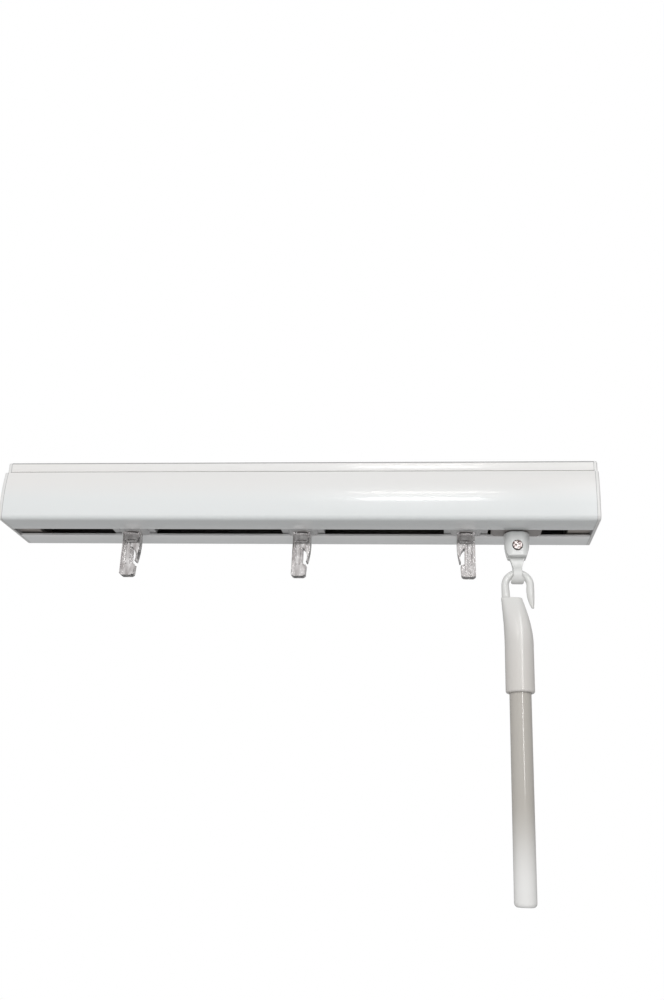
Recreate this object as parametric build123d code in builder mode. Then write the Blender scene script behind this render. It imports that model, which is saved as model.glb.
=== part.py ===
from build123d import *
import math
import os

os.makedirs("parts", exist_ok=True)

# Headrail: one aluminium extrusion, open below in a slot. Millimetres, X along the rail,
# Y away from the room, Z up, origin at the middle of the flat top face.
rail_length = 264.0
rail_wall = 1.1
slot_width = 9.8
band_setback = 4.5
band_height = 4.6
top_edge_radius = 1.0
groove_height = 0.6
groove_depth = 0.5
shoulder_setback = 1.6
shoulder_drop = 0.8
face_low_share = 0.72
face_middle_share = 0.46
face_middle_setback = 0.35
bottom_corner_radius = 2.2
bottom_setback = 0.5
track_rib_height = 0.6

# End caps: a moulded flange with a hollow plug pushed into the rail.
cap_thickness = 1.7
cap_edge_round = 0.7
cap_plug_length = 10.0
cap_plug_clearance = 0.15
cap_plug_wall = 1.6
cap_bearing_wall = 1.7

# Tilt rod: an aluminium rod with four flutes, turning in the caps.
rod_radius = 2.6
rod_flute_radius = 0.75
rod_flute_setting = 2.75
rod_flute_count = 4
rod_end_gap = 0.4
running_gap = 0.06
sliding_gap = 0.3
bearing_snap = 0.25

# Worm drive from the rod to each vane hanger.
worm_starts = 2
wheel_teeth = 12
worm_axial_pitch = 2.6
worm_pitch_radius = 4.1
worm_length = 6.0
gear_width = 5.0
tooth_addendum = 0.6
tooth_dedendum = 0.8
# Shares of the pitch taken by the crests and by the floors between the teeth.
gear_shares = (0.24, 0.40)
worm_shares = (0.20, 0.42)
drive_shares = (0.22, 0.42)
# Crossed helical pair, one to one, from the wand stem to the rod.
drive_teeth = 8
drive_length = 7.0
drive_slope = 1.0

# Carriers: a base that holds the drive and runs on four wheels, and a lid with two strip lanes.
vane_carrier_length = 19.6
wand_carrier_length = 22.4
carrier_wall = 1.0
base_overlap = 1.0
carrier_headroom = 7.45
carrier_side_room = 2.0
vane_bearing_length = 2.0
wand_bearing_length = 4.8
guide_length = 13.4
guide_ramp = 1.7
lid_floor = 1.2
lane_width = 5.6
lane_depth = 2.6
lid_peg_radius = 1.0

# Track wheels, snapped on stub axles moulded on the base.
track_wheel_radius = 3.4
track_wheel_width = 2.8
track_wheel_gap = 0.08
axle_radius = 1.2
axle_head_radius = 1.5
axle_head_thickness = 0.4
wheel_edge_bevel = 0.3
wheel_rim = 0.9
wheel_dish_depth = 0.6
wheel_hub_wall = 0.65

# Spacer strips between the vane carriers, and the link to the wand carrier.
vane_pitch = 79.0
drawn_pitch = 74.0
lead_pitch = 22.4
strip_width = 5.0
strip_thickness = 0.6
strip_lip_height = 1.2
link_plate_thickness = 1.0
link_plate_width = 4.4
link_peg_radius = 1.1
link_peg_inset = 5.0

# Clear vane hangers.
stem_radius = 2.5
hub_radius = 3.9
hub_height = 4.2
blade_thickness = 4.6
blade_length = 20.6
blade_recess = 0.8
recess_width = 2.2
spine_width = 4.6
foot_height = 5.2
foot_reach = 1.8
hook_gap = 1.4
finger_root_drop = 3.1
finger_lean = 0.9
finger_tip_width = 0.7
blade_corner = 0.7
hanger_turns = (0.0, 0.0, 180.0)
hanging_gap = 0.3

# Wand stem, swivel link, hook and wand.
wand_from_end = 33.0
fork_radius = 5.7
fork_height = 11.3
fork_depth = 10.4
fork_corner = 2.2
fork_top_round = 0.9
fork_tip_width = 7.8
fork_taper_height = 7.4
fork_taper_swell = 0.35
pivot_drop = 6.75
tongue_thickness = 3.0
tongue_gap = 0.15
tongue_width = 7.2
pivot_radius = 1.3
screw_head_radius = 2.3
screw_head_height = 0.8
screw_slot_width = 0.7
screw_slot_depth = 0.5
screw_slot_length = 3.0
link_drop = 12.45
neck_width = 3.9
neck_waist = 0.9
eye_outer_radius = 3.9
eye_rise = 1.1
eye_bead_width = 5.6
eye_bead_height = 2.6
eye_flare_angle = 60.0
hook_rim_gap = 0.35
hook_sag = 0.2
hook_wire_radius = 1.65
hook_leg_radius = 1.95
hook_bend_radius = 5.45
hook_straight = 5.8
hook_leg_sink = 1.0
hook_tip_length = 10.4
hook_tip_radius = 0.5
hook_tip_lean = 0.9
hook_swell_share = 0.55
hook_swell_lean = 0.15
hook_swell_scale = 0.92
adaptor_radius = 6.2
adaptor_length = 41.5
adaptor_top_left = 7.35
adaptor_top_right = 1.7
adaptor_top_depth = 5.2
adaptor_top_squareness = 3.0
adaptor_slope_length = 20.8
adaptor_foot_round = 0.8
adaptor_socket_depth = 20.0
adaptor_section_count = 5
adaptor_section_points = 16
wand_radius = 4.65
wand_length = 105.0
wand_end_round = 1.8

chord_angle = 24.0
twist_step = 18.0

# Widths and depths that the pieces share, from the middle of the slot outward.
half_length = rail_length / 2
gear_radius = wheel_teeth * worm_axial_pitch / (2 * math.pi)
rod_y = gear_radius + worm_pitch_radius
drive_radius = rod_y / 2
drive_axial_pitch = 2 * math.pi * drive_radius / drive_teeth
journal_radius = worm_pitch_radius - tooth_dedendum
drive_tip = drive_radius + tooth_addendum
worm_tip = worm_pitch_radius + tooth_addendum
gear_tip = gear_radius + tooth_addendum
pocket_radius = max(drive_tip, worm_tip) + sliding_gap
body_half_width = slot_width / 2 + base_overlap
wheel_inner_y = body_half_width + sliding_gap
wheel_outer_y = wheel_inner_y + track_wheel_width
lane_wall = carrier_wall
lane_offset = (lane_width + lane_wall) / 2
front_half_width = max(gear_tip + sliding_gap, lane_offset + lane_width / 2) + carrier_wall
rear_reach = rod_y + pocket_radius + carrier_wall
half_depth = rear_reach + carrier_side_room + rail_wall + shoulder_setback
rail_depth = 2 * half_depth
band_side = half_depth - band_setback
shoulder_side = half_depth - shoulder_setback

# Heights, first as distances up from the rail's underside.
axle_height = rail_wall + track_rib_height + track_wheel_gap + track_wheel_radius
shelf_height = axle_height + track_wheel_radius + sliding_gap
rod_height = shelf_height + pocket_radius
base_height = rod_height + max(gear_width / 2, pocket_radius) + sliding_gap
rail_height = base_height + lid_floor + carrier_headroom
underside_z = -rail_height
floor_z = underside_z + rail_wall
axle_z = underside_z + axle_height
shelf_under_z = underside_z + shelf_height
rod_z = underside_z + rod_height
base_top_z = underside_z + base_height
base_low_z = floor_z + sliding_gap
gear_low_z = rod_z - gear_width / 2
lane_floor_z = base_top_z + lid_floor
lid_top_z = lane_floor_z + lane_depth
strip_low_z = lane_floor_z + sliding_gap
shelf_z = -(band_height + groove_height)
shoulder_z = shelf_z - shoulder_drop
hanger_top_z = underside_z - hanging_gap
wheel_spread = vane_carrier_length / 2 - track_wheel_radius - sliding_gap
wand_wheel_spread = wand_carrier_length / 2 - track_wheel_radius - sliding_gap

# Places along the rail.
wand_x = half_length - wand_from_end
carrier_3_x = wand_x - lead_pitch
carrier_2_x = carrier_3_x - drawn_pitch
carrier_1_x = carrier_2_x - vane_pitch
vane_places = (carrier_1_x, carrier_2_x, carrier_3_x)


def keep(piece, name):
    piece.part.label = name
    export_step(piece.part, f"parts/{name}.step")


def across(x):
    """Section plane of the rail at x: local x is Y, local y is Z."""
    return Plane(origin=(x, 0, 0), x_dir=(0, 1, 0), z_dir=(1, 0, 0))


def rod_plane(x):
    return Plane(origin=(x, rod_y, rod_z), x_dir=(0, 1, 0), z_dir=(1, 0, 0))


def facing_room(x, y):
    """Upright plane at depth y: local x is X, local y is Z, its normal points at the room."""
    return Plane(origin=(x, y, 0), x_dir=(1, 0, 0), z_dir=(0, -1, 0))


def rail_half(upper):
    """One side of the rail's outline, from the middle of the top to the middle of the bottom."""
    face_low = (half_depth, -rail_height * face_low_share)
    face_middle = (half_depth - face_middle_setback, -rail_height * face_middle_share)
    Polyline((0, 0), *upper, (shoulder_side, shoulder_z))
    ThreePointArc((shoulder_side, shoulder_z), face_middle, face_low)
    Polyline(face_low, (half_depth - bottom_setback, underside_z), (0, underside_z))
    mirror(about=Plane.YZ)


def round_corners(sketch, height, radius):
    """Rounds the two outer corners of a rail section at this height."""
    corners = sketch.vertices().filter_by(lambda v: abs(v.Y - height) < 1e-6)
    outer = [v for v in corners if abs(v.X) > half_depth / 2]
    fillet(outer, radius)


def plain_upper():
    return ((band_side, 0), (band_side, shelf_z))


def toothed_ring(teeth, root_radius, tip_radius, crest_share, floor_share, turn):
    """Corners of a toothed section, its crests and floors kept round by short chords."""
    pitch_angle = 360 / teeth
    corners = []
    for tooth in range(teeth):
        crest = turn + tooth * pitch_angle
        arcs = (
            (tip_radius, crest, crest_share * pitch_angle),
            (root_radius, crest + pitch_angle / 2, floor_share * pitch_angle),
        )
        for radius, middle, span in arcs:
            steps = math.ceil(span / chord_angle)
            for step in range(steps + 1):
                angle = math.radians(middle - span / 2 + span * step / steps)
                corners.append((radius * math.cos(angle), radius * math.sin(angle)))
    return corners


def twisted_teeth(plane_at, length, turns_per_mm, teeth, root_radius, tip_radius, shares, turn):
    """Helical teeth: toothed sections turned step by step along the axis and lofted."""
    steps = max(1, math.ceil(abs(length * turns_per_mm) * 360 / twist_step))
    sections = []
    for step in range(steps + 1):
        height = -length / 2 + length * step / steps
        angle = turn + 360 * turns_per_mm * height
        with BuildSketch(plane_at(height)) as section:
            Polygon(*toothed_ring(teeth, root_radius, tip_radius, *shares, angle), align=None)
        sections.append(section.sketch)
    loft(sections, ruled=True)


def fluted_circle(radius, flute_radius):
    """The rod's section, also the shape of the bores that it drives."""
    Circle(radius)
    with PolarLocations(rod_flute_setting, rod_flute_count, start_angle=45):
        Circle(flute_radius, mode=Mode.SUBTRACT)


# Headrail. The band at the top is set back, and the face below it swells forward.
with BuildPart() as headrail:
    with BuildSketch(across(-half_length)) as section:
        with BuildLine():
            rail_half(
                (
                    (band_side, 0),
                    (band_side, -band_height),
                    (band_side - groove_depth, -band_height),
                    (band_side - groove_depth, shelf_z),
                )
            )
        make_face()
        round_corners(section, 0, top_edge_radius)
        round_corners(section, underside_z, bottom_corner_radius)
    extrude(amount=rail_length)
    with BuildSketch(across(-half_length)) as cavity:
        with BuildLine():
            rail_half(plain_upper())
        make_face()
        round_corners(cavity, underside_z, bottom_corner_radius)
        offset(amount=-rail_wall, kind=Kind.INTERSECTION)
    extrude(amount=rail_length, mode=Mode.SUBTRACT)
    # Raised tracks for the wheels, and the slot between them.
    with BuildSketch(across(-half_length)):
        track_middle = (wheel_inner_y + wheel_outer_y) / 2
        with Locations((-track_middle, floor_z), (track_middle, floor_z)):
            Rectangle(track_wheel_width, track_rib_height, align=(Align.CENTER, Align.MIN))
    extrude(amount=rail_length)
    with BuildSketch(across(-half_length)):
        with Locations((0, underside_z)):
            Rectangle(slot_width, rail_wall, align=(Align.CENTER, Align.MIN))
    extrude(amount=rail_length, mode=Mode.SUBTRACT)
keep(headrail, "headrail")

# Tilt rod.
with BuildPart() as tilt_rod:
    with BuildSketch(rod_plane(-half_length + rod_end_gap)):
        fluted_circle(rod_radius, rod_flute_radius)
    extrude(amount=rail_length - 2 * rod_end_gap)
keep(tilt_rod, "tilt_rod")


def end_cap(side):
    """Cap at one end, side is -1 for the left and 1 for the right."""
    inner_x = side * half_length
    with BuildPart() as cap:
        with BuildSketch(across(inner_x)) as flange:
            with BuildLine():
                rail_half(plain_upper())
            make_face()
            round_corners(flange, 0, top_edge_radius)
            round_corners(flange, underside_z, bottom_corner_radius)
        extrude(amount=side * cap_thickness)
        outer_face = cap.faces().sort_by(Axis.X)[-1 if side > 0 else 0]
        fillet(outer_face.edges(), cap_edge_round)
        # Hollow plug along the cavity's wall, standing clear of the tracks.
        plug_low_z = floor_z + track_rib_height + cap_plug_clearance
        outer_inset = rail_wall + cap_plug_clearance
        for inset, low_z, mode in (
            (outer_inset, plug_low_z, Mode.ADD),
            (outer_inset + cap_plug_wall, plug_low_z + cap_plug_wall, Mode.SUBTRACT),
        ):
            with BuildSketch(across(inner_x)) as plug:
                with BuildLine():
                    rail_half(plain_upper())
                make_face()
                round_corners(plug, underside_z, bottom_corner_radius)
                offset(amount=-inset, kind=Kind.INTERSECTION)
                with Locations((0, low_z)):
                    Rectangle(rail_depth, rail_height, align=(Align.CENTER, Align.MAX), mode=Mode.SUBTRACT)
            extrude(amount=-side * cap_plug_length, mode=mode)
        # Blind bearing for the rod.
        with BuildSketch(rod_plane(inner_x)):
            Circle(rod_radius + cap_bearing_wall)
        extrude(amount=-side * cap_plug_length)
        with BuildSketch(rod_plane(inner_x)):
            Circle(rod_radius + running_gap)
        extrude(amount=-side * cap_plug_length, mode=Mode.SUBTRACT)
    return cap


keep(end_cap(-1), "end_cap_left")
keep(end_cap(1), "end_cap_right")


def rod_sleeve(x, length, teeth_length, teeth, pitch_radius, lead, shares):
    """Toothed sleeve that slides along the rod and turns with it."""
    with BuildPart() as sleeve:
        twisted_teeth(
            lambda height: rod_plane(x + height),
            teeth_length,
            1 / lead,
            teeth,
            pitch_radius - tooth_dedendum,
            pitch_radius + tooth_addendum,
            shares,
            180 / teeth,
        )
        with BuildSketch(rod_plane(x - length / 2)):
            Circle(journal_radius)
        extrude(amount=length)
        with BuildSketch(rod_plane(x - length / 2)):
            fluted_circle(rod_radius + running_gap, rod_flute_radius - running_gap)
        extrude(amount=length, mode=Mode.SUBTRACT)
    return sleeve


def stem_gear(x, teeth, pitch_radius, tooth_slope, shares):
    """Gear on top of a hanging stem, in mesh with the sleeve behind it."""
    twisted_teeth(
        lambda height: Plane(origin=(x, 0, rod_z + height)),
        gear_width,
        tooth_slope / (2 * math.pi * pitch_radius),
        teeth,
        pitch_radius - tooth_dedendum,
        pitch_radius + tooth_addendum,
        shares,
        0,
    )
    with BuildSketch(Plane(origin=(x, 0, gear_low_z))) as shaft:
        Circle(stem_radius)
    extrude(shaft.sketch, amount=hanger_top_z - gear_low_z)


def carrier_base(x, length, bearing_length, guide, wheel_x, link_peg_x):
    """Moulded base: guide tongue in the slot, pockets for the drive, four stub axles."""
    pocket_length = length - 2 * bearing_length
    with BuildPart() as base:
        with BuildSketch(Plane(origin=(x, 0, base_low_z))):
            Rectangle(length, 2 * body_half_width)
        extrude(amount=base_top_z - base_low_z)
        with BuildSketch(Plane(origin=(x, (rear_reach - front_half_width) / 2, shelf_under_z))):
            Rectangle(length, rear_reach + front_half_width)
        extrude(amount=base_top_z - shelf_under_z)
        # Guide tongue, its ends ramped.
        guide_half_width = slot_width / 2 - sliding_gap
        with BuildSketch(facing_room(x, guide_half_width)):
            Polygon(
                (-guide / 2, base_low_z),
                (guide / 2, base_low_z),
                (guide / 2, floor_z),
                (guide / 2 - guide_ramp, underside_z),
                (guide_ramp - guide / 2, underside_z),
                (-guide / 2, floor_z),
                align=None,
            )
        extrude(amount=2 * guide_half_width)
        # Bore for the stem and pocket for its gear, open to the sleeve's pocket and to the top.
        with BuildSketch(Plane(origin=(x, 0, underside_z))):
            Circle(stem_radius + running_gap)
        extrude(amount=rail_height, mode=Mode.SUBTRACT)
        with BuildSketch(Plane(origin=(x, 0, gear_low_z - running_gap))):
            Circle(gear_tip + sliding_gap)
        extrude(amount=base_top_z - gear_low_z + running_gap, mode=Mode.SUBTRACT)
        with BuildSketch(rod_plane(x - pocket_length / 2)):
            Circle(pocket_radius)
            with Locations((0, rail_height / 2)):
                Rectangle(2 * pocket_radius, rail_height)
        extrude(amount=pocket_length, mode=Mode.SUBTRACT)
        # Bearings for the sleeve's journals, open above so that it snaps in.
        with BuildSketch(rod_plane(x - length / 2)):
            Circle(journal_radius + running_gap)
            with Locations((0, rail_height / 2)):
                Rectangle(2 * (journal_radius - bearing_snap), rail_height)
        extrude(amount=length, mode=Mode.SUBTRACT)
        # Stub axles with snap heads.
        for side in (-1, 1):
            for place in (-wheel_x, wheel_x):
                with BuildSketch(facing_room(x + place, side * body_half_width)):
                    with Locations((0, axle_z)):
                        Circle(axle_radius)
                extrude(amount=-side * (wheel_outer_y - body_half_width + sliding_gap / 2))
                head_y = side * (wheel_outer_y + sliding_gap / 2)
                with BuildSketch(facing_room(x + place, head_y)):
                    with Locations((0, axle_z)):
                        Circle(axle_head_radius)
                extrude(amount=-side * axle_head_thickness)
        if link_peg_x is not None:
            with BuildSketch(facing_room(x + link_peg_x, -front_half_width)):
                with Locations((0, rod_z)):
                    Circle(link_peg_radius)
            extrude(amount=link_plate_thickness + 2 * sliding_gap)
    return base


def carrier_lid(x, length, pegged_lane, bridged_lane):
    """Lid with two lanes for the strips; lanes are -1 in front and 1 behind."""
    with BuildPart() as lid:
        with BuildSketch(Plane(origin=(x, (rear_reach - front_half_width) / 2, base_top_z))):
            Rectangle(length, rear_reach + front_half_width)
        extrude(amount=lid_floor)
        with BuildSketch(Plane(origin=(x, 0, lane_floor_z))):
            with Locations((0, -2 * lane_offset), (0, 0), (0, 2 * lane_offset)):
                Rectangle(length, lane_wall)
        extrude(amount=lane_depth)
        if pegged_lane is not None:
            peg_y = pegged_lane * lane_offset
            with BuildSketch(Plane(origin=(x, 0, lane_floor_z))):
                with Locations((-length / 4, peg_y), (length / 4, peg_y)):
                    Circle(lid_peg_radius)
            extrude(amount=2 * sliding_gap + strip_thickness)
        if bridged_lane is not None:
            bridge_z = strip_low_z + strip_thickness + sliding_gap
            with BuildSketch(Plane(origin=(x, 0, bridge_z))):
                with Locations((length / 2 - lane_wall, bridged_lane * lane_offset)):
                    Rectangle(2 * lane_wall, lane_width + 2 * lane_wall)
            extrude(amount=lid_top_z - bridge_z)
    return lid


def track_wheel(x, side):
    """Moulded roller with a dished outer face."""
    with BuildPart() as wheel:
        inner_y = side * wheel_inner_y
        with BuildSketch(facing_room(x, inner_y)):
            with Locations((0, axle_z)):
                Circle(track_wheel_radius)
        extrude(amount=-side * track_wheel_width)
        rims = wheel.edges().filter_by(GeomType.CIRCLE)
        chamfer(rims, wheel_edge_bevel)
        with BuildSketch(facing_room(x, side * wheel_outer_y)):
            with Locations((0, axle_z)):
                Circle(track_wheel_radius - wheel_rim)
                Circle(axle_radius + wheel_hub_wall, mode=Mode.SUBTRACT)
        extrude(amount=side * wheel_dish_depth, mode=Mode.SUBTRACT)
        with BuildSketch(facing_room(x, inner_y)):
            with Locations((0, axle_z)):
                Circle(axle_radius + running_gap)
        extrude(amount=-side * track_wheel_width, mode=Mode.SUBTRACT)
    return wheel


def hanger_blade(turn, x):
    """Hook seen from the side: spine, foot and a springy finger, turned about the stem."""
    frame = Plane(origin=(x, 0, 0)).rotated((0, 0, turn))
    side_plane = Plane(
        origin=frame.origin - frame.y_dir * blade_thickness / 2,
        x_dir=frame.x_dir,
        z_dir=-frame.y_dir,
    )
    top = hanger_top_z
    tip = top - blade_length
    finger_root = top - hub_height - finger_root_drop
    foot_top = tip + foot_height
    finger_tip = foot_top + hook_gap
    spine_side = spine_width - hub_radius
    tip_side = hub_radius - finger_lean
    root_middle = (finger_root + finger_tip) / 2
    with BuildSketch(side_plane) as outline:
        with BuildLine():
            Line((-hub_radius, top), (hub_radius, top))
            finger_middle = (hub_radius - finger_lean / 4, root_middle)
            ThreePointArc((hub_radius, top), finger_middle, (tip_side, finger_tip))
            Line((tip_side, finger_tip), (tip_side - finger_tip_width, finger_tip))
            ThreePointArc(
                (tip_side - finger_tip_width, finger_tip),
                (tip_side - finger_tip_width / 2, root_middle),
                (spine_side, finger_root),
            )
            Polyline(
                (spine_side, finger_root),
                (spine_side, foot_top + blade_corner),
                (spine_side + foot_reach, foot_top),
                (spine_side + foot_reach - blade_corner / 2, tip + blade_corner),
                (spine_side + foot_reach - 2 * blade_corner, tip),
                (blade_corner - hub_radius, tip),
                (-hub_radius - blade_corner / 2, tip + blade_corner),
                (-hub_radius, top),
            )
        make_face()
    extrude(outline.sketch, amount=-blade_thickness)
    # Shallow moulded recess on both flat sides of the spine.
    recess_top = top - hub_height
    recess_low = foot_top + blade_corner
    with BuildSketch(side_plane, side_plane.offset(blade_recess - blade_thickness)) as recess:
        with Locations((spine_side - spine_width / 2, (recess_top + recess_low) / 2)):
            RectangleRounded(recess_width, recess_top - recess_low, blade_corner)
    extrude(recess.sketch, amount=-blade_recess, mode=Mode.SUBTRACT)


# Vane carriers, each with its sleeve, hanger and wheels. A wheel's corner is its side across the
# rail, then its side along the rail.
wheel_corners = ((-1, -1), (-1, 1), (1, -1), (1, 1))
for number, (place, turn) in enumerate(zip(vane_places, hanger_turns), start=1):
    link_peg = link_peg_inset if number == 3 else None
    base = carrier_base(
        place,
        vane_carrier_length,
        vane_bearing_length,
        guide_length,
        wheel_spread,
        link_peg,
    )
    keep(base, f"carrier_base_{number}")
    pegged = (-1, 1, None)[number - 1]
    bridged = (None, -1, 1)[number - 1]
    lid = carrier_lid(place, vane_carrier_length, pegged, bridged)
    keep(lid, f"carrier_lid_{number}")
    sleeve = rod_sleeve(
        place,
        vane_carrier_length - 2 * sliding_gap,
        worm_length,
        worm_starts,
        worm_pitch_radius,
        worm_starts * worm_axial_pitch,
        worm_shares,
    )
    keep(sleeve, f"worm_sleeve_{number}")
    with BuildPart() as hanger:
        slope = worm_starts * worm_axial_pitch / (2 * math.pi * worm_pitch_radius)
        stem_gear(place, wheel_teeth, gear_radius, slope, gear_shares)
        with BuildSketch(Plane(origin=(place, 0, hanger_top_z))):
            Circle(hub_radius)
        extrude(amount=-hub_height)
        hanger_blade(turn, place)
    keep(hanger, f"vane_hanger_{number}")
    for letter, (side, step) in zip("abcd", wheel_corners):
        roller = track_wheel(place + step * wheel_spread, side)
        keep(roller, f"track_wheel_{number}{letter}")

# Wand carrier.
keep(
    carrier_base(
        wand_x,
        wand_carrier_length,
        wand_bearing_length,
        wand_carrier_length,
        wand_wheel_spread,
        -link_peg_inset,
    ),
    "wand_carrier_base",
)
keep(carrier_lid(wand_x, wand_carrier_length, None, None), "wand_carrier_lid")
drive_sleeve = rod_sleeve(
    wand_x,
    wand_carrier_length - 2 * sliding_gap,
    drive_length,
    drive_teeth,
    drive_radius,
    drive_teeth * drive_axial_pitch,
    drive_shares,
)
keep(drive_sleeve, "drive_sleeve")
for letter, (side, step) in zip("abcd", wheel_corners):
    roller = track_wheel(wand_x + step * wand_wheel_spread, side)
    keep(roller, f"track_wheel_w{letter}")

# Spacer strips, pegged to one carrier and sliding through the next ones.
for number, (place, lane) in enumerate(((carrier_1_x, -1), (carrier_2_x, 1)), start=1):
    start_x = place - vane_carrier_length / 2
    stop_x = place + vane_pitch + vane_carrier_length / 2 + sliding_gap
    with BuildPart() as strip:
        with BuildSketch(Plane(origin=((start_x + stop_x) / 2, lane * lane_offset, strip_low_z))):
            Rectangle(stop_x - start_x, strip_width)
        extrude(amount=strip_thickness)
        with BuildSketch(Plane(origin=(stop_x + strip_thickness / 2, lane * lane_offset, strip_low_z))):
            Rectangle(strip_thickness, strip_width)
        extrude(amount=strip_thickness + strip_lip_height)
        with BuildSketch(Plane(origin=(place, lane * lane_offset, strip_low_z))):
            with Locations((-vane_carrier_length / 4, 0), (vane_carrier_length / 4, 0)):
                Circle(lid_peg_radius + running_gap)
        extrude(amount=strip_thickness, mode=Mode.SUBTRACT)
    keep(strip, f"spacer_strip_{number}")

# Link plate that ties the last vane carrier to the wand carrier.
peg_left_x = carrier_3_x + link_peg_inset
peg_right_x = wand_x - link_peg_inset
with BuildPart() as carrier_link:
    with BuildSketch(facing_room((peg_left_x + peg_right_x) / 2, -(front_half_width + sliding_gap))):
        with Locations((0, rod_z)):
            SlotCenterToCenter(peg_right_x - peg_left_x, link_plate_width)
            with Locations((-(peg_right_x - peg_left_x) / 2, 0), ((peg_right_x - peg_left_x) / 2, 0)):
                Circle(link_peg_radius + running_gap, mode=Mode.SUBTRACT)
    extrude(amount=link_plate_thickness)
keep(carrier_link, "carrier_link")

# Wand stem: gear, shaft and fork moulded in one.
pivot_z = hanger_top_z - pivot_drop
fork_low_z = hanger_top_z - fork_height
with BuildPart() as wand_stem:
    with BuildSketch(Plane(origin=(wand_x, 0, hanger_top_z))) as fork_section:
        Circle(fork_radius)
        Rectangle(2 * fork_radius, fork_depth, mode=Mode.INTERSECT)
        fillet(fork_section.vertices(), fork_corner)
    extrude(amount=-fork_height)
    fillet(wand_stem.faces().sort_by(Axis.Z)[-1].edges(), fork_top_round)
    # The sides taper in a slight swell towards the ears' tips.
    taper_z = fork_low_z + fork_taper_height
    with BuildSketch(facing_room(wand_x, fork_depth)):
        for side in (-1, 1):
            tip = (side * fork_tip_width / 2, fork_low_z)
            shoulder = (side * fork_radius, taper_z)
            middle = (
                side * ((fork_radius + fork_tip_width / 2) / 2 + fork_taper_swell),
                (fork_low_z + taper_z) / 2,
            )
            with BuildLine():
                ThreePointArc(tip, middle, shoulder)
                Polyline(
                    shoulder,
                    (side * 2 * fork_radius, taper_z),
                    (side * 2 * fork_radius, fork_low_z),
                    tip,
                )
            make_face()
    extrude(amount=2 * fork_depth, mode=Mode.SUBTRACT)
    # Gap for the link's tongue.
    gap_width = tongue_thickness + 2 * tongue_gap
    with BuildSketch(Plane(origin=(wand_x, 0, fork_low_z))):
        Rectangle(3 * fork_radius, gap_width)
    extrude(amount=fork_height - (pivot_drop - tongue_width / 2 - sliding_gap), mode=Mode.SUBTRACT)
    stem_gear(wand_x, drive_teeth, drive_radius, drive_slope, drive_shares)
    # Screw hole through both ears.
    with BuildSketch(facing_room(wand_x, fork_depth / 2)):
        with Locations((0, pivot_z)):
            Circle(pivot_radius + running_gap)
    extrude(amount=fork_depth, mode=Mode.SUBTRACT)
keep(wand_stem, "wand_stem")

# Pivot screw with a cross recess in its low round head.
with BuildPart() as pivot_screw:
    with BuildSketch(facing_room(wand_x, fork_depth / 2)):
        with Locations((0, pivot_z)):
            Circle(pivot_radius)
    extrude(amount=fork_depth)
    with BuildSketch(facing_room(wand_x, -fork_depth / 2)):
        with Locations((0, pivot_z)):
            Circle(screw_head_radius)
    extrude(amount=screw_head_height)
    fillet(pivot_screw.faces().sort_by(Axis.Y)[0].edges(), screw_head_height / 2)
    with BuildSketch(facing_room(wand_x, -(fork_depth / 2 + screw_head_height))):
        with Locations((0, pivot_z)):
            Rectangle(screw_slot_length, screw_slot_width)
            Rectangle(screw_slot_width, screw_slot_length)
    extrude(amount=-screw_slot_depth, mode=Mode.SUBTRACT)
keep(pivot_screw, "pivot_screw")

# Swivel link: a flat tongue above, twisted a quarter turn into a beaded eye below. The eye's
# hole opens out at both rims to clear the hook's bend as it swings.
eye_z = pivot_z - link_drop
hole_z = eye_z + eye_rise
loop_top_z = hole_z - hook_sag
bend_z = loop_top_z - hook_bend_radius
rim_radius = hook_bend_radius - hook_wire_radius - hook_rim_gap
with BuildPart() as swivel_link:
    with BuildSketch(facing_room(wand_x, eye_outer_radius)):
        half_tongue = tongue_width / 2
        half_neck = neck_width / 2
        half_bead = eye_bead_width / 2
        eye_low_z = eye_z - eye_outer_radius
        bead_top_z = eye_low_z + eye_bead_height
        waist_z = eye_z + eye_rise
        with BuildLine() as edge:
            Line((half_tongue, pivot_z), (half_tongue, fork_low_z))
            ThreePointArc(
                (half_tongue, fork_low_z),
                ((half_tongue + half_neck - neck_waist) / 2, (fork_low_z + waist_z) / 2),
                (half_neck, waist_z),
            )
            Line((half_neck, waist_z), (half_neck, bead_top_z))
            ThreePointArc(
                (half_neck, bead_top_z),
                (half_bead, (bead_top_z + eye_low_z) / 2),
                (half_neck / 2, eye_low_z),
            )
            Line((half_neck / 2, eye_low_z), (0, eye_low_z))
            mirror(about=Plane.YZ)
            ThreePointArc((-half_tongue, pivot_z), (0, pivot_z + half_tongue), (half_tongue, pivot_z))
        make_face()
    extrude(amount=2 * eye_outer_radius)
    with BuildSketch(across(wand_x - tongue_width)) as side_view:
        with Locations((0, eye_z)):
            Circle(eye_outer_radius)
        with Locations((0, eye_z)):
            Rectangle(tongue_thickness, pivot_z + tongue_width - eye_z, align=(Align.CENTER, Align.MIN))
        inner = side_view.vertices().filter_by(lambda v: eye_z < v.Y < pivot_z)
        fillet(inner, tongue_thickness)
    extrude(side_view.sketch, amount=2 * tongue_width, mode=Mode.INTERSECT)
    with BuildSketch(facing_room(wand_x, 0)):
        with BuildLine():
            reach = rim_radius * math.sin(math.radians(eye_flare_angle))
            rim_top = bend_z + rim_radius * math.cos(math.radians(eye_flare_angle))
            Polyline((-reach, rim_top), (-reach, hole_z), (reach, hole_z), (reach, rim_top))
            ThreePointArc((reach, rim_top), (0, bend_z + rim_radius), (-reach, rim_top))
        make_face()
    revolve(axis=Axis((wand_x, 0, hole_z), (1, 0, 0)), mode=Mode.SUBTRACT)
    with BuildSketch(facing_room(wand_x, tongue_thickness / 2)):
        with Locations((0, pivot_z)):
            Circle(pivot_radius + running_gap)
    extrude(amount=tongue_thickness, mode=Mode.SUBTRACT)
keep(swivel_link, "swivel_link")

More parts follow.
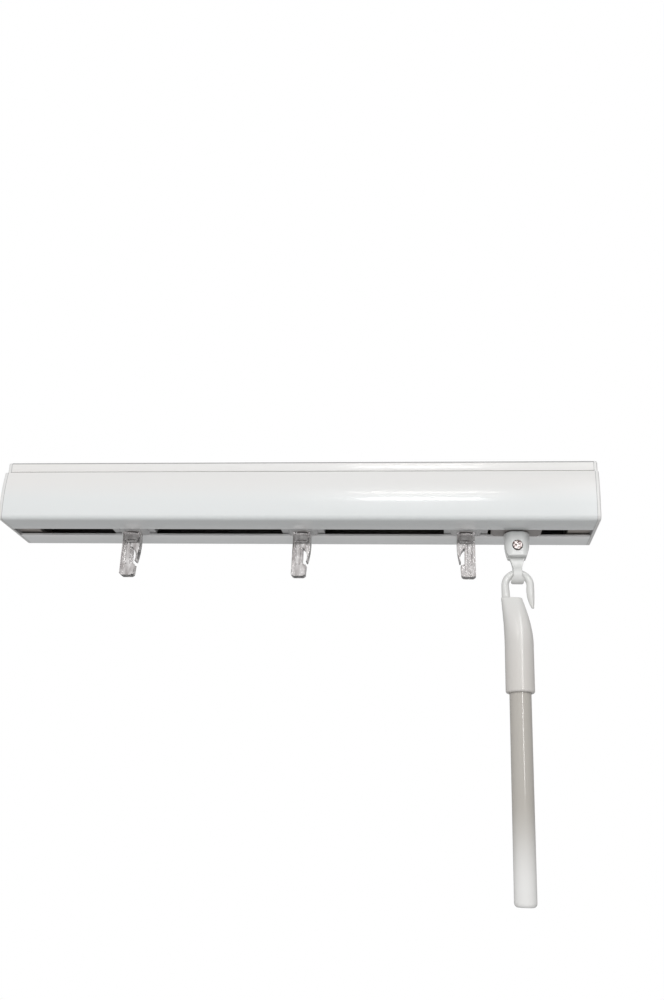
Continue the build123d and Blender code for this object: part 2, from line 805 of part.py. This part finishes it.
# Wand hook: an open loop through the link's eye, grown into the socket that holds the wand.
shoulder_top_z = bend_z - hook_straight
adaptor_low_z = shoulder_top_z - adaptor_length
slope_low_z = shoulder_top_z - adaptor_slope_length


def socket_section(share):
    """Outline of the socket's top at this share of its slope: flat above, round at 1."""
    grown = math.sin(math.pi / 2 * share)
    left = -(adaptor_top_left + (adaptor_radius - adaptor_top_left) * grown)
    right = adaptor_top_right + (adaptor_radius - adaptor_top_right) * grown
    deep = adaptor_top_depth / 2 + (adaptor_radius - adaptor_top_depth / 2) * grown
    squareness = adaptor_top_squareness - (adaptor_top_squareness - 2) * share
    points = []
    for step in range(adaptor_section_points):
        angle = 2 * math.pi * step / adaptor_section_points
        along = math.copysign(abs(math.cos(angle)) ** (2 / squareness), math.cos(angle))
        out = math.copysign(abs(math.sin(angle)) ** (2 / squareness), math.sin(angle))
        points.append(((left + right) / 2 + (right - left) / 2 * along, deep * out))
    return points


with BuildPart() as wand_hook:
    # Socket, round below and lofted up to a flat, set-back shoulder.
    sections = []
    for step in range(adaptor_section_count):
        share = step / (adaptor_section_count - 1)
        section_z = shoulder_top_z - adaptor_slope_length * share
        with BuildSketch(Plane(origin=(wand_x, 0, section_z))) as section:
            with BuildLine():
                Spline(*socket_section(share), periodic=True)
            make_face()
        sections.append(section.sketch)
    loft(sections)
    extrude(sections[-1], amount=adaptor_low_z - slope_low_z)
    fillet(wand_hook.faces().sort_by(Axis.Z)[0].edges(), adaptor_foot_round)
    # Leg, bend and free end of the hook.
    leg_x = wand_x - hook_bend_radius
    leg = []
    for height, radius in ((bend_z, hook_wire_radius), (shoulder_top_z - hook_leg_sink, hook_leg_radius)):
        with BuildSketch(Plane(origin=(leg_x + radius - hook_wire_radius, 0, height))) as section:
            Circle(radius)
        leg.append(section.sketch)
    loft(leg)
    with BuildLine() as bend:
        ThreePointArc((leg_x, 0, bend_z), (wand_x, 0, loop_top_z), (wand_x + hook_bend_radius, 0, bend_z))
    with BuildSketch(Plane(origin=(leg_x, 0, bend_z))) as wire:
        Circle(hook_wire_radius)
    sweep(wire.sketch, path=bend.wires()[0])
    free_end = []
    for share, lean, radius in (
        (0, 0, hook_wire_radius),
        (hook_swell_share, hook_swell_lean, hook_wire_radius * hook_swell_scale),
        (1, 1, hook_tip_radius),
    ):
        tip_x = wand_x + hook_bend_radius + lean * hook_tip_lean
        with BuildSketch(Plane(origin=(tip_x, 0, bend_z - hook_tip_length * share))) as section:
            Circle(radius)
        free_end.append(section.sketch)
    loft(free_end)
    with BuildSketch(Plane(origin=(wand_x, 0, adaptor_low_z))) as bore:
        Circle(wand_radius + running_gap)
    extrude(bore.sketch, amount=adaptor_socket_depth, mode=Mode.SUBTRACT)
keep(wand_hook, "wand_hook")

# Wand.
wand_top_z = adaptor_low_z + adaptor_socket_depth - sliding_gap
with BuildPart() as wand:
    with BuildSketch(Plane(origin=(wand_x, 0, wand_top_z))):
        Circle(wand_radius)
    extrude(amount=-wand_length)
    fillet(wand.faces().sort_by(Axis.Z)[0].edges(), wand_end_round)
keep(wand, "wand")
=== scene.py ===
import math

import bmesh
import bpy
from mathutils import Matrix, Vector


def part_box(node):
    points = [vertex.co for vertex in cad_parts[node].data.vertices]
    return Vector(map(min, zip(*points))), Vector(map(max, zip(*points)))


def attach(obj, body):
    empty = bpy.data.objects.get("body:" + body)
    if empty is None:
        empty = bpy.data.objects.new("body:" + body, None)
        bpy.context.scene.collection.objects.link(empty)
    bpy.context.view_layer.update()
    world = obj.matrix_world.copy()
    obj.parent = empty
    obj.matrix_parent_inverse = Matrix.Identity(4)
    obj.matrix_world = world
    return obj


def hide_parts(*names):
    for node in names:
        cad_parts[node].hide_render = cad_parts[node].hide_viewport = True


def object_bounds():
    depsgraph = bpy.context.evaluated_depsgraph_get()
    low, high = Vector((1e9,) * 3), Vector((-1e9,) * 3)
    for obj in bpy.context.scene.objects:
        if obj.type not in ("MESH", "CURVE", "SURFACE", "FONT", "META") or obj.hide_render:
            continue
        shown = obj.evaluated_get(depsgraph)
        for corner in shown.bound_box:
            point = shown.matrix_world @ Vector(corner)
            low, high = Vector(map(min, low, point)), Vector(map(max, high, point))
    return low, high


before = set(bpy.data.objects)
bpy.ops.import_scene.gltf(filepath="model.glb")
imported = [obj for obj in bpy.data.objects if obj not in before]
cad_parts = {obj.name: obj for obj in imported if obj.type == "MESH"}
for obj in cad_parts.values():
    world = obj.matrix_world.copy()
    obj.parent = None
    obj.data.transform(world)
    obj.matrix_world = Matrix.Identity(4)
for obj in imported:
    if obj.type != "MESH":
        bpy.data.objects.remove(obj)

cad_box = [list(corner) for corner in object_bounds()]
mm = 0.001

# Camera: below the rail and in front of it, looking up into the slot, a little to the left of
# the wand. The picture is upright, so its height takes the whole sensor.
scene = bpy.context.scene
scene.view_settings.view_transform = "Standard"
camera_place = Vector((64.5, -461.5, -173.4)) * mm
camera_yaw = 0.1055
camera_pitch = 0.3330
camera_roll = 0.0342
picture_height_px = 1000
focal_px = 1068
camera_right = Vector((math.cos(camera_yaw), math.sin(camera_yaw), 0))
camera_ahead = Vector(
    (
        -math.sin(camera_yaw) * math.cos(camera_pitch),
        math.cos(camera_yaw) * math.cos(camera_pitch),
        math.sin(camera_pitch),
    )
)
camera_up = camera_right.cross(camera_ahead)
rolled = Matrix.Rotation(-camera_roll, 3, camera_ahead)
camera_axes = Matrix((rolled @ camera_right, rolled @ camera_up, -camera_ahead)).transposed()
camera_data = bpy.data.cameras.new("camera")
camera_data.lens = camera_data.sensor_width * focal_px / picture_height_px
camera = bpy.data.objects.new("camera", camera_data)
camera.matrix_world = Matrix.Translation(camera_place) @ camera_axes.to_4x4()
scene.collection.objects.link(camera)
scene.camera = camera


# Studio: a white surround, softer as light than behind the object, over a pale floor well below
# the wand. Three wide lamps in front, behind and below don't show in gloss, and three narrow ones
# are there for the streaks along the rail's face and down the wand.
class Shade:
    """A socket in a material's nodes, so that sums on it read as sums."""

    def __init__(self, tree, socket=None):
        self.tree = tree
        self.socket = socket

    def node(self, kind, settings=None, sockets=None, out=0):
        """A new node with these settings and these values or links in its sockets."""
        made = self.tree.nodes.new(kind)
        for name, value in (settings or {}).items():
            setattr(made, name, value)
        for name, value in (sockets or {}).items():
            if isinstance(value, Shade):
                self.tree.links.new(value.socket, made.inputs[name])
            else:
                made.inputs[name].default_value = value
        return Shade(self.tree, made.outputs[out] if len(made.outputs) else None)

    def worked(self, operation, first, second=0.0):
        return self.node("ShaderNodeMath", {"operation": operation}, {0: first, 1: second})

    def __add__(self, other):
        return self.worked("ADD", self, other)

    def __radd__(self, other):
        return self.worked("ADD", other, self)

    def __sub__(self, other):
        return self.worked("SUBTRACT", self, other)

    def __rsub__(self, other):
        return self.worked("SUBTRACT", other, self)

    def __mul__(self, other):
        return self.worked("MULTIPLY", self, other)

    def __rmul__(self, other):
        return self.worked("MULTIPLY", other, self)

    def __abs__(self):
        return self.worked("ABSOLUTE", self)

    def within(self, low, high):
        """Rises from 0 at low to 1 at high."""
        limits = {"Value": self, "From Min": low, "From Max": high}
        return self.node("ShaderNodeMapRange", {"interpolation_type": "SMOOTHSTEP"}, limits)

    def mix(self, first, second):
        """A colour between first and second, with this value as the share of the second."""
        ends = {0: self, 6: opaque(first), 7: opaque(second)}
        return self.node("ShaderNodeMix", {"data_type": "RGBA"}, ends, 2)

    def marbled(self, first, second):
        """This noise as soft patches of two colours."""
        return self.within(0.3, 0.7).mix(first, second)

    def place(self, axis):
        """The object's own coordinate along X, Y or Z, in metres."""
        where = self.node("ShaderNodeTexCoord", out="Object")
        return self.node("ShaderNodeSeparateXYZ", sockets={0: where}, out="XYZ".index(axis))

    def mottle(self, size_mm, stretch=(1, 1, 1), detail=2):
        """Soft noise whose patches are about size_mm across, around 0.5."""
        where = self.node("ShaderNodeTexCoord", out="Object")
        laid = self.node("ShaderNodeMapping", sockets={0: where, "Scale": stretch})
        grain = {"Vector": laid, "Scale": 1 / (size_mm * mm), "Detail": detail}
        return self.node("ShaderNodeTexNoise", sockets=grain)

    def raised(self, height, depth_mm):
        """A normal for a surface that stands out by depth_mm where height is 1."""
        return self.node("ShaderNodeBump", sockets={"Height": height, "Distance": depth_mm * mm})


def opaque(colour):
    return colour if isinstance(colour, Shade) else (*colour, 1)


def seen(nodes):
    """1 to the camera and through glass, 0 as light and in gloss."""
    straight = nodes.node("ShaderNodeLightPath", out="Is Camera Ray")
    through = nodes.node("ShaderNodeLightPath", out="Is Transmission Ray")
    return nodes.worked("MAXIMUM", straight, through)


white = (1, 1, 1)
soft_strength = 0.46
world = bpy.data.worlds.new("surround")
world.use_nodes = True
world.node_tree.nodes.clear()
air = Shade(world.node_tree)
air_strength = soft_strength + (1 - soft_strength) * seen(air)
air_white = air.node("ShaderNodeBackground", sockets={0: opaque(white), 1: air_strength})
air.node("ShaderNodeOutputWorld", sockets={"Surface": air_white})
scene.world = world

floor_drop = 1.0
floor_half = 6.0
floor_grey = 0.7
floor_z = cad_box[0][2] - floor_drop
floor_quarters = ((-1, -1), (1, -1), (1, 1), (-1, 1))
floor_corners = [(x * floor_half, y * floor_half, floor_z) for x, y in floor_quarters]
floor_mesh = bpy.data.meshes.new("floor")
floor_mesh.from_pydata(floor_corners, [], [(0, 1, 2, 3)])
floor = bpy.data.objects.new("floor", floor_mesh)
scene.collection.objects.link(floor)
floor_paint = bpy.data.materials.new("floor_paint")
floor_paint.use_nodes = True
floor_paint.node_tree.nodes.clear()
ground = Shade(floor_paint.node_tree)
ground_matt = ground.node("ShaderNodeBsdfDiffuse", sockets={"Color": opaque((floor_grey,) * 3)})
ground_strength = (1 - floor_grey * soft_strength) * seen(ground)
ground_glow = {"Color": opaque(white), "Strength": ground_strength}
ground_white = ground.node("ShaderNodeEmission", sockets=ground_glow)
ground_both = ground.node("ShaderNodeAddShader", sockets={0: ground_matt, 1: ground_white})
ground.node("ShaderNodeOutputMaterial", sockets={"Surface": ground_both})
floor_mesh.materials.append(floor_paint)


def lamp(name, place, aim, size, watts, in_gloss=False, as_light=True, colour=white):
    """A rectangular lamp, its size as width and height. It may show in gloss and through clear
    plastic, and it may light matt surfaces or leave them alone."""
    light = bpy.data.lights.new(name, "AREA")
    light.shape = "RECTANGLE"
    light.size, light.size_y = size
    light.energy = watts
    light.color = colour
    holder = bpy.data.objects.new(name, light)
    holder.visible_diffuse = as_light
    holder.visible_glossy = in_gloss
    holder.visible_transmission = in_gloss
    holder.location = place
    holder.rotation_euler = (Vector(aim) - Vector(place)).to_track_quat("-Z", "Y").to_euler()
    scene.collection.objects.link(holder)


whole_aim = (0, 0, -0.05)
rail_aim = (0, 0, -0.02)
streak_aim = (0.03, 0, -0.02)
wand_aim = (0.099, 0, -0.12)
warm_light = (1, 0.93, 0.9)
lamp("front_lamp", (-0.1, -1.5, 0.4), whole_aim, size=(1.3, 0.7), watts=13.4)
lamp("back_lamp", (0.3, 1.5, 0.5), whole_aim, size=(1.3, 0.7), watts=9.0)
lamp("low_lamp", (-0.1, -0.9, -0.85), rail_aim, size=(1.0, 0.6), watts=1.1)
lamp("streak_lamp", (0.039, -0.869, 0.28), streak_aim, size=(0.16, 0.06), watts=0.35, in_gloss=True)
lamp(
    "thin_streak_lamp",
    (0.045, -0.869, 0.4),
    streak_aim,
    size=(0.2, 0.026),
    watts=0.2,
    in_gloss=True,
    colour=warm_light,
)
lamp(
    "wand_streak_lamp",
    (0.36, -0.85, 0.2),
    wand_aim,
    size=(0.06, 0.7),
    watts=2.0,
    in_gloss=True,
    as_light=False,
)


# Headrail: an aluminium extrusion with gloss white stove enamel outside and dull metal inside,
# painted dark as the shade in its hollow. Its edges are rounded as a die leaves them. The camera
# sees its front and underside.
def arc_through(start, middle, end, steps):
    """Points of the circle through three points, start and end among them."""
    a, b, c = Vector(start), Vector(middle), Vector(end)
    double = 2 * (a.x * (b.y - c.y) + b.x * (c.y - a.y) + c.x * (a.y - b.y))
    a_square, b_square, c_square = a.length_squared, b.length_squared, c.length_squared
    across = a_square * (b.y - c.y) + b_square * (c.y - a.y) + c_square * (a.y - b.y)
    upward = a_square * (c.x - b.x) + b_square * (a.x - c.x) + c_square * (b.x - a.x)
    centre = Vector((across / double, upward / double))
    first, last = a - centre, c - centre
    turn = first.angle_signed(last)
    return [centre + Matrix.Rotation(-turn * step / steps, 2) @ first for step in range(steps + 1)]


def eased(outline, radius, steps=3):
    """The closed outline with each sharp corner rounded, and smooth stretches left alone."""
    smooth_turn = math.radians(20)
    longest_share = 0.45
    softened = []
    for here, corner in enumerate(outline):
        back = outline[here - 1] - corner
        onward = outline[(here + 1) % len(outline)] - corner
        turn = math.pi - back.angle(onward)
        if turn < smooth_turn:
            softened.append(corner)
            continue
        shorter = min(back.length, onward.length)
        reach = min(radius * math.tan(turn / 2), longest_share * shorter)
        start = corner + back.normalized() * reach
        end = corner + onward.normalized() * reach
        for step in range(steps + 1):
            share = step / steps
            softened.append((1 - share) ** 2 * start + 2 * share * (1 - share) * corner + share**2 * end)
    return softened


def points(*pairs):
    return [Vector(pair) for pair in pairs]


def extruded(name, outline, start_x, end_x):
    """A mesh of an outline in Y and Z, drawn out along X and closed at both ends."""
    form = bmesh.new()
    rings = [[form.verts.new((x, p.x, p.y)) for p in outline] for x in (start_x, end_x)]
    for here in range(len(outline)):
        there = (here + 1) % len(outline)
        form.faces.new((rings[0][here], rings[0][there], rings[1][there], rings[1][here]))
    form.faces.new(rings[0])
    form.faces.new(rings[1])
    bmesh.ops.recalc_face_normals(form, faces=form.faces)
    mesh = bpy.data.meshes.new(name)
    form.to_mesh(mesh)
    form.free()
    mesh.shade_smooth()
    mesh.set_sharp_from_angle(angle=crease)
    made = bpy.data.objects.new(name, mesh)
    scene.collection.objects.link(made)
    return made


def material(name, **constants):
    """A material whose surface shader has these constants, and its nodes to add to."""
    made = bpy.data.materials.new(name)
    made.use_nodes = True
    surface = made.node_tree.nodes["Principled BSDF"]
    for socket, value in constants.items():
        surface.inputs[socket.replace("_", " ")].default_value = value
    return made, Shade(made.node_tree), surface


def feed(nodes, surface, **fields):
    """Links what changes over the surface to the sockets of these names."""
    for socket, value in fields.items():
        nodes.tree.links.new(value.socket, surface.inputs[socket.replace("_", " ")])


rail_low, rail_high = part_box("headrail")
rail_end_x = rail_high.x
rail_side = rail_high.y
rail_under = rail_low.z
crease = math.radians(40)

# Half of its section, in millimetres to the back and up from the middle of the top: a narrow
# band, a groove, a side that swells to the full depth, a round bottom corner, and inside it the
# wheel's track.
wall = 1.1
die_round = 0.22
top_round = 1.0
band_side, band_low = 15.7, -4.6
groove_side, groove_low = 15.35, -5.2
shoulder, swell_middle, swell_low = (18.6, -6.0), (19.84, -13.2), (20.19, -20.66)
corner_high, corner_middle, corner_low = (19.83, -26.64), (19.14, -28.1), (17.63, -28.695)
slot_side, slot_low = 4.9, -28.695
floor_top, track_top = -27.6, -27.0
track_near, track_far = 6.2, 9.0
inner_low, inner_corner, inner_high = (17.63, floor_top), (18.39, -27.3), (18.73, -26.57)
hollow_low, hollow_middle, hollow_high = (19.1, -20.66), (18.75, -13.3), (17.55, -7.0)
neck_side, neck_low = 14.6, -6.04
top_round_middle = top_round * (1 - math.sqrt(0.5))
half_outline = (
    arc_through(
        (band_side - top_round, 0),
        (band_side - top_round_middle, -top_round_middle),
        (band_side, -top_round),
        steps=6,
    )
    + points((band_side, band_low), (groove_side, band_low), (groove_side, groove_low))
    + arc_through(shoulder, swell_middle, swell_low, steps=14)
    + arc_through(corner_high, corner_middle, corner_low, steps=8)
    + points((slot_side, slot_low), (slot_side, floor_top))
    + points((track_near, floor_top), (track_near, track_top))
    + points((track_far, track_top), (track_far, floor_top))
    + arc_through(inner_low, inner_corner, inner_high, steps=6)
    + arc_through(hollow_low, hollow_middle, hollow_high, steps=12)
    + points((neck_side, neck_low), (neck_side, -wall))
)
other_half = [Vector((-p.x, p.y)) for p in reversed(half_outline)]
rail_outline = [p * mm for p in eased(half_outline + other_half, die_round)]
rail = extruded("rail_shell", rail_outline, -rail_end_x, rail_end_x)

# Its enamel is painted a little warmer above and cooler and darker below, as painted shade.
# A painted grey line of shade runs along the rounded top edges, and the far half of the
# underside and the slot's far edge are painted whitest, as painted light.
warm_white, warm_white_cloud = (0.79, 0.775, 0.76), (0.79, 0.785, 0.775)
shade_cool_white, shade_cool_white_cloud = (0.74, 0.765, 0.765), (0.76, 0.78, 0.78)
edge_light_white, under_light_white = (0.98, 0.98, 0.98), (0.92, 0.94, 0.94)
top_edge_shade_grey = (0.34, 0.34, 0.34)
enamel, paint, paint_surface = material("rail_enamel", Coat_Weight=0.35, Coat_Roughness=0.06, IOR=1.5)
back, height = paint.place("Y"), paint.place("Z")
cloud = paint.mottle(60, (0.25, 1, 1))
# Painted shade: the enamel goes cooler and darker below the swell.
low_shade_share = 1 - height.within(-22 * mm, -10 * mm)
# Painted shade: a grey line along the rounded top edges.
top_edge_shade = height.within(-0.95 * mm, -0.55 * mm) * abs(back).within(14.5 * mm, 14.8 * mm)
# Painted light: the far half of the underside and the slot's far edge are painted whiter.
far_under_light = back.within(4.5 * mm, 5.5 * mm) * height.within(-28 * mm, -29 * mm)
far_middle_light = back.within(6.5 * mm, 8.5 * mm)
far_edge_light = back.within(4.6 * mm, 4.8 * mm) * height.within(-26.5 * mm, -27.3 * mm)
high_coat = cloud.marbled(warm_white, warm_white_cloud)
shaded_low_coat = cloud.marbled(shade_cool_white, shade_cool_white_cloud)
coat = low_shade_share.mix(high_coat, shaded_low_coat)
coat = far_under_light.mix(coat, far_middle_light.mix(edge_light_white, under_light_white))
coat = (far_edge_light * (1 - far_under_light)).mix(coat, edge_light_white)
feed(
    paint,
    paint_surface,
    Base_Color=top_edge_shade.mix(coat, top_edge_shade_grey),
    Roughness=0.17 + 0.08 * paint.mottle(9),
    Normal=paint.raised(paint.mottle(1.6, detail=1), depth_mm=0.012),
)
# Painted shade: the inside is painted dark metal, as the shade inside the hollow rail.
inside_shade_dark, inside_shade_pale = (0.16, 0.15, 0.145), (0.22, 0.21, 0.2)
inside_shade, metal, metal_surface = material("rail_inside_shade", Metallic=0.6, Roughness=0.55)
feed(metal, metal_surface, Base_Color=metal.mottle(3, (0.05, 1, 1)).marbled(inside_shade_dark, inside_shade_pale))
rail.data.materials.append(enamel)
rail.data.materials.append(inside_shade)
within_wall, past_edge = 0.9, 1.02
ceiling_reach = 0.1 * mm
wall_high = -wall * mm * within_wall
wall_low = rail_under + wall * mm * within_wall
wall_side = rail_side - wall * mm * past_edge
beside_slot = slot_side * mm * past_edge
for face in rail.data.polygons:
    middle = face.center
    lengthwise = len(face.vertices) == 4
    enclosed = beside_slot < abs(middle.y) < wall_side and wall_low < middle.z < wall_high
    inward = Vector((0, -middle.y, rail_under / 2 - middle.z))
    ceiling = abs(middle.z + wall * mm) < ceiling_reach
    if lengthwise and (ceiling or enclosed and inward.dot(face.normal) > 0):
        face.material_index = 1
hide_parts("headrail")
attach(rail, "rail")


# End caps: white nylon mouldings pushed into the ends, a shade greyer than the enamel. Their
# hollow plugs, where they show in the slot, are painted a dull grey-brown as shade, and a fine
# seam shows at the rail.
def dress(nodes, finish):
    """Gives CAD nodes a finish in place of the plain one that they came with."""
    for name in nodes:
        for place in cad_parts[name].material_slots:
            place.material = finish


cap_white = (0.74, 0.74, 0.73)
seam_grey = (0.4, 0.4, 0.4)
plug_shade_brown = (0.34, 0.31, 0.29)
cap_plastic, cap, cap_surface = material("cap_plastic", IOR=1.52)
outward = abs(cap.place("X"))
# Painted shade: the plug inside the rail's end is painted grey-brown.
plug_shade_share = 1 - outward.within(rail_end_x - 0.4 * mm, rail_end_x - 0.1 * mm)
seam_share = 1 - outward.within(rail_end_x + 0.1 * mm, rail_end_x + 0.35 * mm)
feed(
    cap,
    cap_surface,
    Base_Color=plug_shade_share.mix(seam_share.mix(cap_white, seam_grey), plug_shade_brown),
    Roughness=0.32 + 0.1 * cap.mottle(4),
    Normal=cap.raised(cap.mottle(0.7), depth_mm=0.01),
)
dress(("end_cap_left", "end_cap_right"), cap_plastic)

# Tilt rod: drawn aluminium with four flutes, bare and satin. The marks of the die run along it
# from end to end.
rod_dark, rod_pale = (0.68, 0.69, 0.7), (0.8, 0.81, 0.82)
drawn, rod, rod_surface = material("rod_metal", Metallic=1.0)
marks = rod.mottle(0.5, (0.02, 1, 1))
feed(rod, rod_surface, Base_Color=marks.marbled(rod_dark, rod_pale), Roughness=0.25 + 0.15 * marks)
dress(("tilt_rod",), drawn)


# Carriers: base and lid are satin mouldings, light grey for the panels and painted darker as
# shade for the wand, which snap together over the wheels. The sleeves and rollers are slippery
# natural plastic.
def moulding(name, dark, pale, roughness):
    made, nodes, surface = material(name, IOR=1.5)
    feed(
        nodes,
        surface,
        Base_Color=nodes.mottle(6).marbled(dark, pale),
        Roughness=roughness + 0.1 * nodes.mottle(3),
        Normal=nodes.raised(nodes.mottle(0.5), depth_mm=0.006),
    )
    return made


carrier_grey = moulding("carrier_grey", (0.5, 0.5, 0.5), (0.56, 0.56, 0.56), 0.3)
# Painted shade: the wand's carrier and link plate are painted darker, as the shade in the slot.
carrier_painted_shade = moulding("carrier_painted_shade", (0.27, 0.25, 0.24), (0.33, 0.31, 0.3), 0.35)
natural_plastic = moulding("natural_plastic", (0.72, 0.71, 0.67), (0.8, 0.79, 0.75), 0.35)
dress([f"carrier_{part}_{number}" for part in ("base", "lid") for number in (1, 2, 3)], carrier_grey)
dress(("wand_carrier_base", "wand_carrier_lid", "carrier_link"), carrier_painted_shade)
dress([f"worm_sleeve_{number}" for number in (1, 2, 3)] + ["drive_sleeve"], natural_plastic)
dress([f"track_wheel_{carrier}{corner}" for carrier in "123w" for corner in "abcd"], natural_plastic)

# Spacer strips: thin spring steel, rolled bright. Each is pegged in one carrier and slides
# through the others.
steel_dark, steel_pale = (0.5, 0.5, 0.51), (0.62, 0.62, 0.63)
rolled_steel, strip, strip_surface = material("strip_metal", Metallic=1.0)
grain = strip.mottle(0.4, (0.03, 1, 1))
feed(
    strip,
    strip_surface,
    Base_Color=grain.marbled(steel_dark, steel_pale),
    Roughness=0.25 + 0.2 * grain,
)
dress(("spacer_strip_1", "spacer_strip_2"), rolled_steel)


# Panel hooks: gear, stem and blade in one clear moulding, thick enough to show grey where it
# bends the light, with that grey also painted into its tint as soft streaks of shade, and with the
# rounded edges and slight waviness that moulded parts have.
def moulded_form(node, name, voxel_mm, rounds):
    """A CAD node's form with every edge melted round, as the mould leaves it."""
    form = bmesh.new()
    form.from_mesh(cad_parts[node].data)
    bmesh.ops.remove_doubles(form, verts=form.verts, dist=weld)
    bmesh.ops.scale(form, vec=(1 / mm,) * 3, verts=form.verts)
    mesh = bpy.data.meshes.new(name)
    form.to_mesh(mesh)
    form.free()
    made = bpy.data.objects.new(name, mesh)
    scene.collection.objects.link(made)
    skin = made.modifiers.new("skin", "REMESH")
    skin.mode = "VOXEL"
    skin.voxel_size = voxel_mm
    melt = made.modifiers.new("melt", "SMOOTH")
    melt.factor = 0.5
    melt.iterations = rounds
    done = bpy.data.meshes.new_from_object(made.evaluated_get(bpy.context.evaluated_depsgraph_get()))
    made.modifiers.clear()
    done.transform(Matrix.Scale(mm, 4))
    done.shade_smooth()
    done.materials.clear()
    made.data = done
    return made


weld = 0.001 * mm
clear_painted_shade, clear_pale = (0.36, 0.335, 0.33), (0.72, 0.7, 0.695)
clear, glass, glass_surface = material("clear_plastic", IOR=1.56, Transmission_Weight=1.0)
# Painted shade: soft streaks of grey in the clear tint, for where the plastic bends the light.
flow = glass.mottle(2.4, (1, 1, 0.35), detail=3)
feed(
    glass,
    glass_surface,
    Base_Color=flow.within(0.38, 0.62).mix(clear_painted_shade, clear_pale),
    Roughness=0.08 + 0.14 * flow,
    Normal=glass.raised(glass.mottle(1.3, (1, 1, 0.5)), depth_mm=0.2),
)
for number in (1, 2, 3):
    hook = moulded_form(f"vane_hanger_{number}", f"clear_hook_{number}", voxel_mm=0.16, rounds=3)
    hook.data.materials.append(clear)
    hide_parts(f"vane_hanger_{number}")
    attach(hook, f"hanger_{number}")

# Wand stem, link and hook: gloss white mouldings of the same plastic, a touch warmer lower down.
# The stem's fork takes the link on a screw, and the hook hangs in the link's eye.
high_white, low_white = (0.77, 0.78, 0.77), (0.66, 0.635, 0.605)
hook_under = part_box("wand_hook")[0].z
stem_plastic, stem, stem_surface = material(
    "stem_plastic", IOR=1.5, Coat_Weight=0.1, Coat_Roughness=0.15
)
lowness = 1 - stem.place("Z").within(hook_under, rail_under)
feed(
    stem,
    stem_surface,
    Base_Color=lowness.mix(high_white, low_white),
    Roughness=0.2 + 0.06 * stem.mottle(2.5),
    Normal=stem.raised(stem.mottle(1.1), depth_mm=0.008),
)
for node, body, voxel, rounds in (
    ("wand_stem", "wand_stem_body", 0.16, 4),
    ("swivel_link", "link", 0.16, 14),
    ("wand_hook", "wand_assembly", 0.25, 4),
):
    part = moulded_form(node, f"{node}_moulding", voxel, rounds)
    part.data.materials.append(stem_plastic)
    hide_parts(node)
    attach(part, body)

# Pivot screw: zinc plate with a faint pink cast, its head lightly domed and painted dark at the
# rim as shade. It goes through the fork from the front.
plate_dark, plate_pale, rim_shade_dark = (0.16, 0.11, 0.1), (0.8, 0.74, 0.73), (0.08, 0.06, 0.055)
plated, screw, screw_surface = material("screw_plate", Metallic=1.0)
screw_low, screw_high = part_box("pivot_screw")
head_radius = (screw_high.x - screw_low.x) / 2
aside = screw.place("X") - (screw_low.x + screw_high.x) / 2
above = screw.place("Z") - (screw_low.z + screw_high.z) / 2
from_axis = screw.worked("SQRT", aside * aside + above * above)
rim_from, rim_to = head_radius * 0.72, head_radius * 0.96
# Painted shade: a dark ring round the rim of the head.
rim_shade = from_axis.within(rim_from, rim_to)
tarnish = screw.mottle(0.9)
feed(
    screw,
    screw_surface,
    Base_Color=rim_shade.mix(tarnish.within(0.4, 0.6).mix(plate_dark, plate_pale), rim_shade_dark),
    Roughness=0.2 + 0.2 * tarnish,
)
dress(("pivot_screw",), plated)

# Wand: a rigid extruded rod pushed up into the hook's socket, gloss, warm grey near the socket
# and paler towards its tip, which is rounded off.
wand_low, wand_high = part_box("wand")
wand_x = (wand_low.x + wand_high.x) / 2
wand_radius = (wand_high.x - wand_low.x) / 2
top_bevel = 0.3 * mm
tip_round = 1.8 * mm
tip_steps = 8
around = 64
pale_from, pale_to = wand_low.z + 42 * mm, wand_low.z + 6 * mm
wand_warm_grey, wand_pale = (0.50, 0.475, 0.435), (0.84, 0.835, 0.82)
rod_plastic, handle, handle_surface = material(
    "wand_plastic", IOR=1.5, Coat_Weight=0.5, Coat_Roughness=0.08
)
tip_share = 1 - handle.place("Z").within(pale_to, pale_from)
feed(
    handle,
    handle_surface,
    Base_Color=tip_share.mix(wand_warm_grey, wand_pale),
    Roughness=0.16 + 0.08 * handle.mottle(3, (1, 1, 0.1)),
)
profile = [
    (0, wand_high.z),
    (wand_radius - top_bevel, wand_high.z),
    (wand_radius, wand_high.z - top_bevel),
]
for step in range(tip_steps + 1):
    angle = math.pi / 2 * step / tip_steps
    radius = wand_radius - tip_round + tip_round * math.cos(angle)
    profile.append((radius, wand_low.z + tip_round - tip_round * math.sin(angle)))
profile.append((0, wand_low.z))
turned = bmesh.new()
edge_verts = [turned.verts.new((radius, 0, z)) for radius, z in profile]
edges = [turned.edges.new(pair) for pair in zip(edge_verts, edge_verts[1:])]
bmesh.ops.spin(
    turned,
    geom=edge_verts + edges,
    cent=(0, 0, 0),
    axis=(0, 0, 1),
    angle=2 * math.pi,
    steps=around,
    use_merge=True,
)
bmesh.ops.remove_doubles(turned, verts=turned.verts, dist=weld)
bmesh.ops.recalc_face_normals(turned, faces=turned.faces)
bmesh.ops.translate(turned, vec=(wand_x, 0, 0), verts=turned.verts)
rod_mesh = bpy.data.meshes.new("wand_rod")
turned.to_mesh(rod_mesh)
turned.free()
rod_mesh.shade_smooth()
rod_mesh.set_sharp_from_angle(angle=crease)
rod_mesh.materials.append(rod_plastic)
wand = bpy.data.objects.new("wand_rod", rod_mesh)
scene.collection.objects.link(wand)
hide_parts("wand")
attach(wand, "wand_assembly")

bpy.context.view_layer.update()
